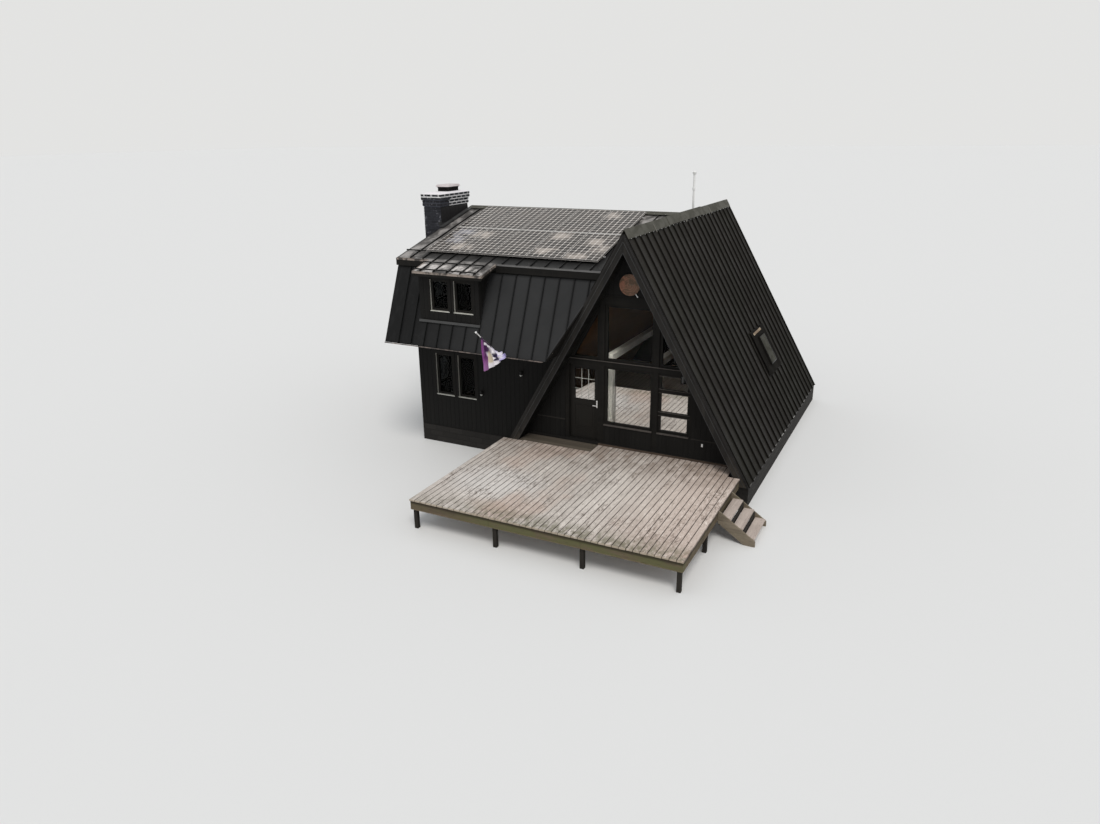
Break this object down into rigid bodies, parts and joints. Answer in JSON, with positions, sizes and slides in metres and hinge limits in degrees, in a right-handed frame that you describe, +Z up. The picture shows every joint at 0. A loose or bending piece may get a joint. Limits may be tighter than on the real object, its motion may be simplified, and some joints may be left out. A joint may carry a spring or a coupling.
{
  "type": "a-frame cabin",
  "caption": "Black A-frame cabin with a cross wing, standing-seam roofs, solar array, brick chimney, glazed gable, hinged front door, deck and steps.",
  "frame": {"origin": "ground level, under the middle of the front gable wall's thickness", "axes": "+X to the right seen from the deck, +Y back along the ridge, +Z up"},
  "size_m": [11.046, 13.158, 7.27],
  "materials": {
    "stone_base": "painted concrete",
    "pine": "varnished boards",
    "black_wood": "black stain",
    "round_wood": "varnished",
    "black_metal": "satin black",
    "window_glass": "clear",
    "steel_lever": "satin",
    "module_glass": "dark cells under glass",
    "rail_metal": "weathered",
    "black_brick": "painted brick",
    "grey_boards": "weathered grey",
    "white_paint": "gloss white",
    "flag_cloth": "nylon"
  },
  "bodies": {
    "cabin": {"foundation_cross": "stone_base", "foundation_long": "stone_base", "cabin_floor": "pine", "wing_floor": "pine", "wing_upper_floor": "black_wood", "roof_east": "pine", "roof_west": "pine", "metal_east": "black_metal", "metal_west": "black_metal", "ridge_cap": "black_metal", "rake_boards": "black_wood", "front_posts": "black_wood", "front_beams": "black_wood", "gable_panel": "black_wood", "gable_disc": "round_wood", "front_wall": "black_wood", "door_frame": "black_wood", "cabin_window_frames": "black_wood", "cabin_glass": "window_glass", "rear_wall": "black_wood", "loft_posts": "pine", "loft_beams": "pine", "wing_walls": "black_wood", "wing_west_wall": "black_wood", "wing_window_frames": "black_wood", "wing_glass": "window_glass", "wing_steep_roof": "pine", "steep_return": "black_wood", "wing_roof_front": "pine", "wing_roof_rear": "pine", "dormer_roofs": "black_wood", "wing_metal": "black_metal", "wing_ridge_cap": "black_metal", "eaves_boards": "black_wood", "verge_boards": "black_wood", "dormer_faces": "black_wood", "dormer_cheeks": "black_wood", "solar_modules": "module_glass", "solar_rails": "rail_metal", "snow_bars": "black_metal", "chimney_breast": "black_brick", "chimney_stack": "black_brick", "chimney_cap": "rail_metal", "deck_floor": "grey_boards", "deck_frame": "grey_boards", "deck_posts": "grey_boards", "step_stringers": "grey_boards", "step_treads": "grey_boards", "skylight_frame": "black_metal", "service_mast": "rail_metal", "wall_lamps": "black_metal", "flag_staff": "white_paint", "flag": "flag_cloth"},
    "door": {"front_door": "black_wood", "door_hinges": "black_metal", "door_glass": "window_glass", "door_lever": "steel_lever"}
  },
  "joints": [
    {"name": "front_door_hinge", "type": "hinge", "parent": "cabin", "child": "door", "pos_m": [-1.629, 0.083, 0], "axis": [0, 0, 1], "range_deg": [0, 90]}
  ]
}
